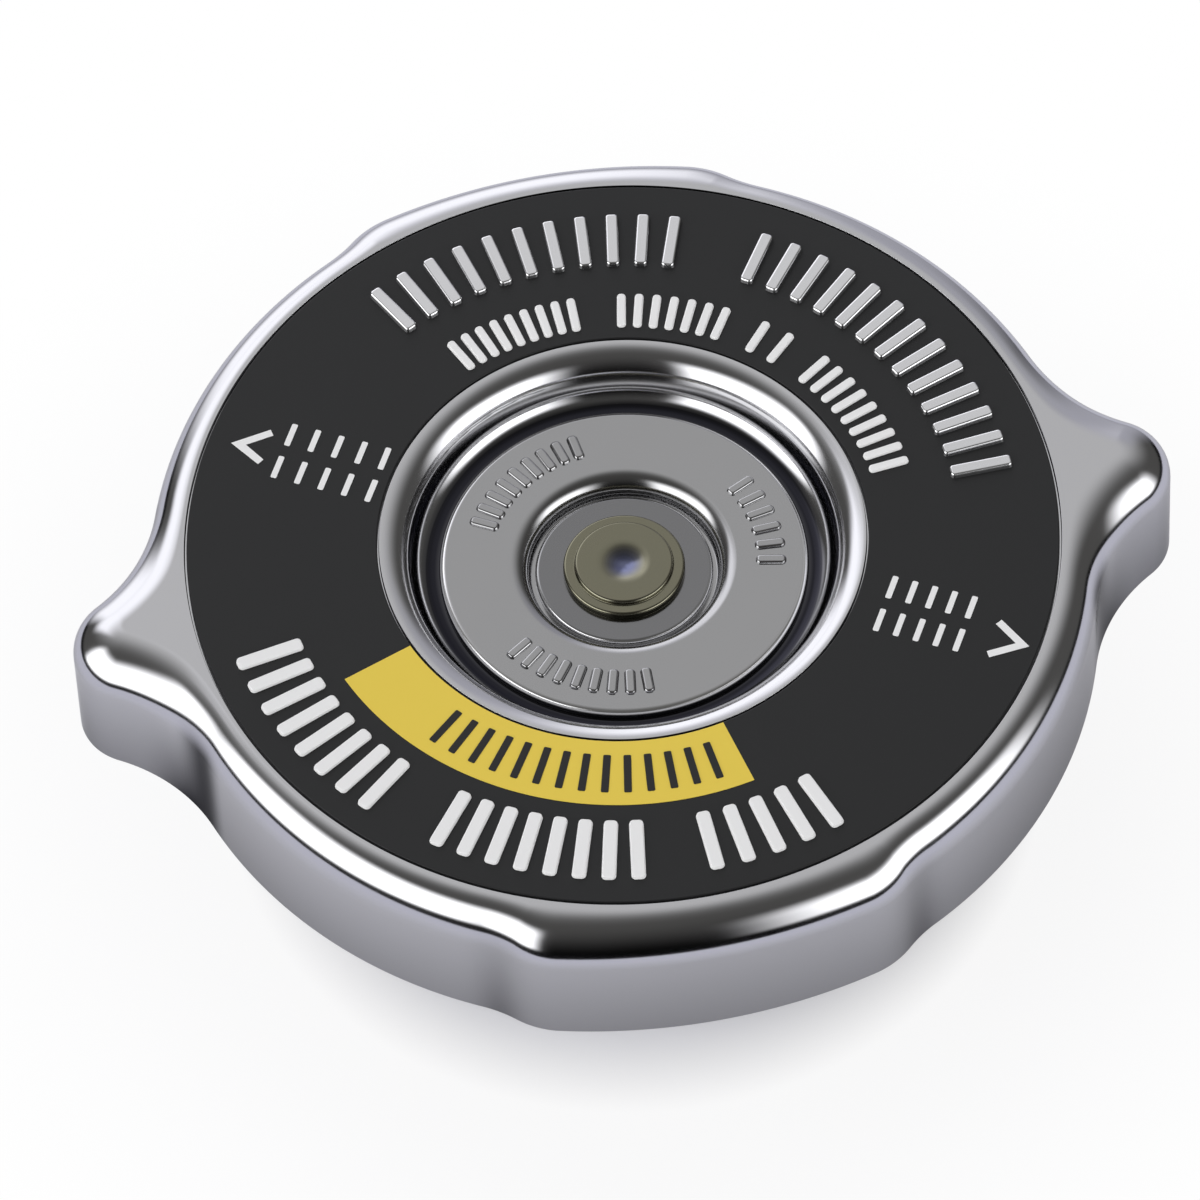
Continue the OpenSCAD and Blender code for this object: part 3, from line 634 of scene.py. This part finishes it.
def arrow_head(tip, arm, other, width, z, height):
    """Two strokes of one width that meet in a mitre at the tip: an outer and an inner line, and walls."""
    tip, arm, other = (np.asarray(v, float) for v in (tip, arm, other))

    def across(v):
        d = v - tip
        n = np.array([-d[1], d[0]]) / np.linalg.norm(d)
        return n if n @ (other + arm - 2 * tip) > 0 else -n

    bisector = (arm + other) / 2 - tip
    bisector = bisector / np.linalg.norm(bisector)
    inner_tip = tip + bisector * width / (across(arm) @ bisector)
    loop = np.array([arm, tip, other, other + width * across(other), inner_tip, arm + width * across(arm)])
    low = np.column_stack([loop, np.full(6, z)])
    high = low + (0, 0, height)
    side = np.roll(loop, -1, 0) - loop
    side = np.column_stack([side[:, 1], -side[:, 0], np.zeros(6)]) / np.linalg.norm(side, axis=1)[:, None]
    middle = loop.mean(0)
    if ((loop + np.roll(loop, -1, 0))[0] / 2 - middle) @ side[0, :2] < 0:
        side = -side
    walls = np.arange(24).reshape(6, 4)
    corners = np.stack([low, np.roll(low, -1, 0), np.roll(high, -1, 0), high], 1).reshape(-1, 3)
    cap = np.array([[0, 1, 4, 5], [1, 2, 3, 4]])
    up = np.tile([0.0, 0.0, 1.0], (6, 1))
    return joined([(corners, np.repeat(side, 4, 0), [walls]), (high, up, [cap]), (low, -up, [cap])])


marks = [
    arrow_head(polar(26.95, 151.4), polar(24.85, 147.4), polar(24.75, 154.0), stroke, plate_z, film),
    arrow_head(polar(27.9, -30.5), polar(25.6, -27.3), polar(25.75, -34.1), stroke, plate_z, film),
]
line_turn, row_out = -29.5, 1.35
along = polar(1.0, line_turn)
across = np.array([-along[1], along[0]])
for low, high in ((-23.4, -16.9), (18.0, 23.4)):
    for row in (row_out, -row_out):
        for u in np.linspace(low, high, 5):
            at = u * along + row * across
            marks.append(pad(*at, math.radians(90.0 + line_turn), half_l=0.9, half_w=0.2, round_r=0.1,
                             z=plate_z, height=film, edge=film_edge))
piece("arrow_marks", marks, "shell", white)

disc_groups = [(150.0, 98.0, 9), (26.0, -12.0, 6), (-146.0, -92.0, 9)]
disc_ticks = arc_ticks(disc_groups, r_in=8.65, r_out=10.65, width=0.75, z=disc_z, height=0.2, round_r=0.3,
                       edge=0.19)
piece("disc_ticks", disc_ticks, "shell", satin)

# %% [markdown]
# ## The spring cage and the seals
#
# Under the skirt: a thin spring disc with a rubber ring on it, and a drawn cage
# with windows, in which the main spring pushes the valve down on the cage's foot.

# %% Cage
roof_low, roof_z = 20.3, 20.9
slope_in, slope_out, brim_in, brim_r = 15.3, 18.6, 25.15, 25.5
brim_low, brim_z, leaf_t = 21.8, 22.4, 0.35
spring_disc = [
    (bore_r, roof_z, 0.03), (slope_in, roof_z, 0.6), (slope_out, brim_z, 0.6), (brim_in, brim_z, 0.05),
    (brim_in, brim_low, 0.03), (brim_r, brim_low, 0.03), (brim_r, brim_z + leaf_t, 0.3),
    (slope_out, brim_z + leaf_t, 0.6), (slope_in, roof_z + leaf_t, 0.6), (bore_r, roof_z + leaf_t, 0.03),
]
piece("spring_disc", [turned(spring_disc, steps=5)], "cage", steel, replaces="diaphragm")
lip_in, lip_r, lip_z = 18.9, 25.0, 21.0
lip_seal = [(lip_in, lip_z, 0.25), (lip_r, lip_z, 0.25), (lip_r, brim_z, 0.05), (lip_in, brim_z, 0.05)]
piece("lip_seal", [turned(lip_seal)], "cage", rubber, replaces="upper_gasket")

cage_in, cage_r, sill, lintel, window_wide = 15.9, 16.5, 11.9, 16.9, 11.5
foot_in, foot_low, foot_z = 13.0, 9.3, 9.9
half_window = math.degrees(math.asin(window_wide / 2 / cage_r))
roof = [
    (bore_r, roof_low, 0.03), (cage_in, roof_low, 1.0), (cage_in, lintel, 0.02), (cage_r, lintel, 0.02),
    (cage_r, roof_z, 1.6), (bore_r, roof_z, 0.03),
]
foot = [
    (foot_in, foot_low, 0.15), (cage_r, foot_low, 1.6), (cage_r, sill, 0.02), (cage_in, sill, 0.02),
    (cage_in, foot_z, 1.0), (foot_in, foot_z, 0.15),
]
post = [(cage_in, sill, 0.01), (cage_r, sill, 0.01), (cage_r, lintel, 0.01), (cage_in, lintel, 0.01)]
wide = 90.0 - 2 * half_window
posts = [turned(post, steps=2, around=32, start=90.0 * k - wide / 2, sweep=wide) for k in range(4)]
piece("spring_cage", [turned(roof), turned(foot), *posts], "cage", brass,
      replaces="bell")


# %% [markdown]
# ## Springs
#
# A spring is a circle of wire carried along a helix. The pitch is smaller at both
# ends, where a real spring is closed so that it stands square on its seat.

# %% Springs
def coil(r, thick, turns, low, high, per_turn=48, sides=14):
    """A wire of the given thickness along x = r cos a, y = r sin a, z = low + rise(a), with flat ends."""
    closing = 0.33
    n = int(turns * per_turn)
    u = np.arange(n + 1) / n
    a = 2 * math.pi * turns * u
    z = low + thick / 2 + (high - low - thick) * (u - closing * np.sin(2 * math.pi * u) / (2 * math.pi))
    out = np.stack([np.cos(a), np.sin(a), np.zeros_like(a)], -1)
    q = 2 * math.pi * np.arange(sides) / sides
    way = np.cos(q)[None, :, None] * out[:, None] + np.sin(q)[None, :, None] * np.array([0.0, 0.0, 1.0])
    centre = np.column_stack([r * np.cos(a), r * np.sin(a), z])
    along = np.gradient(centre, axis=0)
    along /= np.linalg.norm(along, axis=1, keepdims=True)
    points = centre[:, None] + thick / 2 * way
    parts = [(points.reshape(-1, 3), way.reshape(-1, 3), [grid_faces(n + 1, sides, False, True)])]
    for k, sign in ((0, -1.0), (n, 1.0)):
        parts.append((np.vstack([points[k], centre[k]]), np.tile(sign * along[k], (sides + 1, 1)),
                      [fan(np.arange(sides), sides)]))
    return joined(parts)


main_wire = coil(r=10.3, thick=1.8, turns=4.5, low=5.76, high=20.24)
main_spring = piece("main_spring", [main_wire], "cage", wire,
                    replaces="pressure_spring")
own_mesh(main_spring)
light_wire = coil(r=2.0, thick=0.4, turns=3.0, low=6.66, high=10.04, per_turn=36, sides=10)
light_spring = piece("light_spring", [light_wire], "pressure_valve", wire,
                     replaces="vacuum_spring")
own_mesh(light_spring)

# %% [markdown]
# ## The valves
#
# The valve cup slides in the cage's foot. Below it a dished plate carries the
# lower gasket, which a flanged eyelet clamps from inside. The small valve's disc
# closes the eyelet from below.

# %% Valves
core_r, web_z, back_low, back_z = 8.5, 2.5, 3.6, 4.4
cup_in, cup_r, brink_r, cup_floor, brink_z = 11.8, 12.5, 14.75, 5.1, 10.6
cup = [
    (core_r, back_z, 0.03), (cup_r, back_z, 1.0), (cup_r, foot_z, 0.3), (brink_r, foot_z, 0.05),
    (brink_r, brink_z, 0.05), (cup_in, brink_z, 1.0), (cup_in, cup_floor, 0.3), (core_r, cup_floor, 0.03),
]
piece("cup", [turned(cup)], "pressure_valve", brass, replaces="valve_cup")
dish_in, pilot_r, dish_low = 19.6, 20.4, 2.2
plate = [
    (core_r, back_low, 0.03), (dish_in, back_low, 0.2), (dish_in, dish_low, 0.1), (pilot_r, dish_low, 0.2),
    (pilot_r, back_z, 1.0), (core_r, back_z, 0.03),
]
piece("dished_plate", [turned(plate)], "pressure_valve", steel, replaces="backing_plate")
seal_in, seal_r = 13.6, 19.5
seal = [
    (core_r, web_z, 0.03), (seal_in, web_z, 0.1), (seal_in, 0.0, 0.5), (seal_r, 0.0, 0.5),
    (seal_r, back_low, 0.3), (core_r, back_low, 0.03),
]
piece("seat_seal", [turned(seal)], "pressure_valve", rubber, replaces="pressure_gasket")
eye_in, eye_r, curl_r, clamp_r, clamp_z, curl_z = 7.7, 8.4, 8.9, 13.2, 1.8, 5.8
eyelet = [
    (eye_in, clamp_z, 0.3), (clamp_r, clamp_z, 0.1), (clamp_r, web_z, 0.1), (eye_r, web_z, 0.1),
    (eye_r, cup_floor, 0.05), (curl_r, cup_floor, 0.1), (curl_r, curl_z, 0.3), (eye_in, curl_z, 0.3),
]
piece("eyelet", [turned(eyelet)], "pressure_valve", brass, replaces="gasket_retainer")
valve_r, valve_low, valve_z = 10.0, 0.6, 1.2
stem_r, stem_z, button_r, button_top_r, button_z = 1.05, 10.6, 1.45, 1.25, 11.1
small_valve = [
    (0.0, valve_low, 0), (valve_r, valve_low, 0.25), (valve_r, valve_z, 0.1), (stem_r, valve_z, 0.3),
    (stem_r, stem_z, 0.02), (button_r, stem_z, 0.1), (button_top_r, button_z, 0.2), (0.0, button_z, 0),
]
piece("small_valve", [turned(small_valve, closed=False, around=128)], "vacuum_valve", brass,
      replaces="vacuum_valve")
pad_in, pad_r = 8.4, 9.8
small_seal = [(pad_in, valve_z, 0.05), (pad_r, valve_z, 0.1), (pad_r, clamp_z, 0.1), (pad_in, clamp_z, 0.1)]
piece("small_seal", [turned(small_seal)], "vacuum_valve", rubber,
      replaces="vacuum_seal")
keeper_in, keeper_r, keeper_z = 1.07, 3.0, 10.1
keeper = [
    (keeper_in, keeper_z, 0.05), (keeper_r, keeper_z, 0.1), (keeper_r, stem_z, 0.1),
    (keeper_in, stem_z, 0.05),
]
piece("keeper", [turned(keeper, around=64)], "vacuum_valve", steel, replaces="stem_keeper")
inner_r = 5.8
inner_washer = [
    (bore_r, tip_z, 0.05), (inner_r, tip_z, 0.1), (inner_r, roof_low, 0.1), (bore_r, roof_low, 0.05),
]
piece("inner_washer", [turned(inner_washer)], "cage", steel, replaces="clinch_washer")
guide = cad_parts["stem_guide"]
guide.data.materials.clear()
guide.data.materials.append(steel)


# %% [markdown]
# ## Studio
#
# An oval white table in a dim room with three wide windows: one on the left, one on
# the right, and one behind the cap that runs up to the left. Polished metal is a
# picture of its room, so the room draws the bright and dark bands on the rim. Its
# brightness is worked out from the direction alone: the turn from a fixed heading, and
# the rise above the horizon, each with soft steps where a window begins and ends. The
# table is white to the eye, and keeps the cap's shadow in a circle around the axis.

# %% Studio
AZ, EL, ROLL = math.radians(-8.7), math.radians(55.2), math.radians(-3.02)


class Room:
    """Small helpers that add one node each to a node tree and hand back its output."""

    def __init__(self, tree, place):
        self.tree = tree
        self.place = tree.nodes.new("ShaderNodeTexCoord").outputs[place]

    def math(self, operation, *values):
        """One step of arithmetic on numbers and outputs."""
        node = self.tree.nodes.new("ShaderNodeMath")
        node.operation = operation
        for k, value in enumerate(values):
            if isinstance(value, (int, float)):
                node.inputs[k].default_value = value
            else:
                self.tree.links.new(value, node.inputs[k])
        return node.outputs["Value"]

    def product(self, value, *others):
        """All the given values multiplied."""
        for other in others:
            value = self.math("MULTIPLY", value, other)
        return value

    def along(self, v):
        """How far a place or a direction reaches along v."""
        node = self.tree.nodes.new("ShaderNodeVectorMath")
        node.operation = "DOT_PRODUCT"
        node.inputs[1].default_value = v
        self.tree.links.new(self.place, node.inputs[0])
        return node.outputs["Value"]

    def reach(self):
        """Distance of a place from the foot of the axis."""
        node = self.tree.nodes.new("ShaderNodeVectorMath")
        node.operation = "LENGTH"
        self.tree.links.new(self.place, node.inputs[0])
        return node.outputs["Value"]

    def turn_from(self, azimuth):
        """Degrees between a direction and a heading that is counted from the camera's side."""
        a = AZ + math.radians(azimuth)
        toward = self.along((math.sin(a), -math.cos(a), 0))
        beside = self.math("ABSOLUTE", self.along((math.cos(a), math.sin(a), 0)))
        return self.math("DEGREES", self.math("ARCTAN2", beside, toward))

    def step(self, value, low, high, a, b):
        """A soft step: a up to low, b from high on."""
        node = self.tree.nodes.new("ShaderNodeMapRange")
        node.interpolation_type = "SMOOTHSTEP"
        for key, v in zip(("From Min", "From Max", "To Min", "To Max"), (low, high, a, b)):
            node.inputs[key].default_value = v
        self.tree.links.new(value, node.inputs["Value"])
        return node.outputs["Result"]


def toward(azimuth, rise):
    """The direction with a heading counted from the camera's side and a rise above the horizon."""
    a, e = AZ + math.radians(azimuth), math.radians(rise)
    return math.sin(a) * math.cos(e), -math.cos(a) * math.cos(e), math.sin(e)


def room_light():
    """The world by direction: a pale patch behind and above, dark to the front, and the windows."""
    world = bpy.data.worlds.new("room")
    bpy.context.scene.world = world
    world.use_nodes = True
    tree = world.node_tree
    room = Room(tree, "Generated")
    rise = room.math("DEGREES", room.math("ARCSINE", room.along((0, 0, 1))))
    patch = room.math("DEGREES", room.math("ARCCOSINE", room.along(toward(180, 55))))
    over = room.along(toward(0, 0))
    pale = room.product(room.step(patch, 2, 58, 1, 0), room.step(over, -0.45, 0.15, 1, 0.4))
    ground = room.step(rise, -7, 1, 1, 0)

    def window(azimuth, aside, top):
        """1 around a heading and up to a rise; aside and top are the degrees where it fades."""
        return room.product(room.step(room.turn_from(azimuth), *aside, 1, 0), room.step(rise, *top, 1, 0))

    front = window(0, aside=(12, 50), top=(-5, 75))
    glow = room.product(window(180, aside=(16, 42), top=(30, 55)), room.step(rise, -35, -8, 0, 1))
    far = room.product(window(-166, aside=(12, 30), top=(20, 54)), room.step(rise, -16, 6, 0.1, 1))
    high = room.product(window(-151, aside=(13, 28), top=(40, 64)), room.step(rise, 12, 32, 0, 1))
    left = window(-64, aside=(25, 41), top=(34, 58))
    right = window(56, aside=(14, 42), top=(24, 50))
    sides = room.product(room.math("MAXIMUM", left, right), room.step(rise, -6, 4, 0, 1))
    colour = blended(tree, pale, (0.12, 0.118, 0.113), (0.82, 0.82, 0.82))
    colour = blended(tree, ground, colour, (0.012, 0.012, 0.012))
    colour = blended(tree, front, colour, (0.003, 0.003, 0.003))
    colour = blended(tree, glow, colour, (0.64, 0.64, 0.71))
    colour = blended(tree, room.math("MAXIMUM", far, high), colour, (1.9, 1.9, 1.98))
    colour = blended(tree, sides, colour, (3.15, 3.15, 3.17))
    shade = tree.nodes["Background"]
    tree.links.new(colour, shade.inputs["Color"])
    paper = tree.nodes.new("ShaderNodeBackground")
    paper.inputs["Color"].default_value = (1, 1, 1, 1)
    mix = tree.nodes.new("ShaderNodeMixShader")
    tree.links.new(tree.nodes.new("ShaderNodeLightPath").outputs["Is Camera Ray"], mix.inputs["Fac"])
    tree.links.new(shade.outputs["Background"], mix.inputs[1])
    tree.links.new(paper.outputs["Background"], mix.inputs[2])
    tree.links.new(mix.outputs["Shader"], tree.nodes["World Output"].inputs["Surface"])


def pale_floor(half_wide=0.16, half_deep=0.105, corners=192):
    """An oval white table: paper white to the eye and in the metal further out, shaded near the cap."""
    mesh = bpy.data.meshes.new("floor")
    a = np.linspace(0, 2 * math.pi, corners, endpoint=False)[:, None]
    rim = half_wide * np.cos(a) * toward(90, 0) + half_deep * np.sin(a) * toward(180, 0)
    mesh.from_pydata(rim.tolist(), [], [list(range(corners))])
    mat = finish("floor_white", (0.90, 0.90, 0.95), 0.0, 0.9, shine=0.0)
    tree = mat.node_tree
    path = tree.nodes.new("ShaderNodeLightPath")
    room = Room(tree, "Object")

    away = room.reach()
    shadow = room.step(away, 0.018, 0.030, 0.0, 1.0)
    halo = room.step(away, 0.028, 0.060, 0.88, 1.0)
    eye = room.math("MINIMUM", shadow, halo)
    mirror = room.math("MAXIMUM", path.outputs["Is Glossy Ray"], path.outputs["Is Transmission Ray"])
    further = room.step(away, 0.038, 0.085, 0.0, 0.9)
    views = [
        (room.product(path.outputs["Is Camera Ray"], eye), (1.0, 1.0, 1.0, 1.0)),
        (room.product(mirror, further), (0.88, 0.88, 1.0, 1.0)),
    ]
    surface = tree.nodes["Principled BSDF"].outputs["BSDF"]
    for share, colour in views:
        glow = tree.nodes.new("ShaderNodeEmission")
        glow.inputs["Color"].default_value = colour
        mix = tree.nodes.new("ShaderNodeMixShader")
        tree.links.new(share, mix.inputs["Fac"])
        tree.links.new(surface, mix.inputs[1])
        tree.links.new(glow.outputs["Emission"], mix.inputs[2])
        surface = mix.outputs["Shader"]
    tree.links.new(surface, tree.nodes["Material Output"].inputs["Surface"])
    mesh.materials.append(mat)
    floor = bpy.data.objects.new("floor", mesh)
    bpy.context.scene.collection.objects.link(floor)


def lamp(name, azimuth, elevation, distance, width, height, watts):
    """A soft rectangular lamp that faces the cap from a direction given from the camera's side."""
    data = bpy.data.lights.new(name, "AREA")
    data.shape, data.size, data.size_y, data.energy = "RECTANGLE", width, height, watts
    obj = bpy.data.objects.new(name, data)
    obj.location = [distance * v for v in toward(azimuth, elevation)]
    obj.rotation_euler = (math.pi / 2 - math.radians(elevation), 0.0, AZ + math.radians(azimuth))
    obj.visible_camera = False
    bpy.context.scene.collection.objects.link(obj)


room_light()
pale_floor()
for lamp_name, lamp_azimuth in (("lamp_left", -64.0), ("lamp_right", 59.0)):
    lamp(lamp_name, lamp_azimuth, elevation=28.0, distance=1.2, width=0.7, height=0.5, watts=0.5)


# %% [markdown]
# ## Camera
#
# A long lens from about three quarters of a metre, which is why the far side of
# the cap looks hardly smaller than the near one.

# %% Camera
def camera():
    """Long lens at the photograph's angle, with the label's centre where the photograph has it."""
    back = np.array(toward(0, math.degrees(EL)))
    level = np.array([math.cos(AZ), math.sin(AZ), 0.0])
    upright = np.cross(back, level)
    right = math.cos(ROLL) * level + math.sin(ROLL) * upright
    up = -math.sin(ROLL) * level + math.cos(ROLL) * upright
    ring_px, aside_px, above_px = 436.6, 22.6, 62.7
    distance = 0.755
    pixel = plate_r * MM / ring_px
    face = np.array([0, 0, rim_z * MM])
    place = face + back * distance - right * aside_px * pixel - up * above_px * pixel
    data = bpy.data.cameras.new("camera")
    data.sensor_width, data.lens = 36.0, 347.1
    data.clip_start, data.clip_end = 0.05, 20.0
    cam = bpy.data.objects.new("camera", data)
    pose = np.eye(4)
    pose[:3] = np.column_stack([right, up, back, place])
    cam.matrix_world = Matrix(pose.tolist())
    bpy.context.scene.collection.objects.link(cam)
    bpy.context.scene.camera = cam


camera()
bpy.context.scene.view_settings.view_transform = "Standard"
print("camera", [round(v, 3) for v in bpy.context.scene.camera.location])
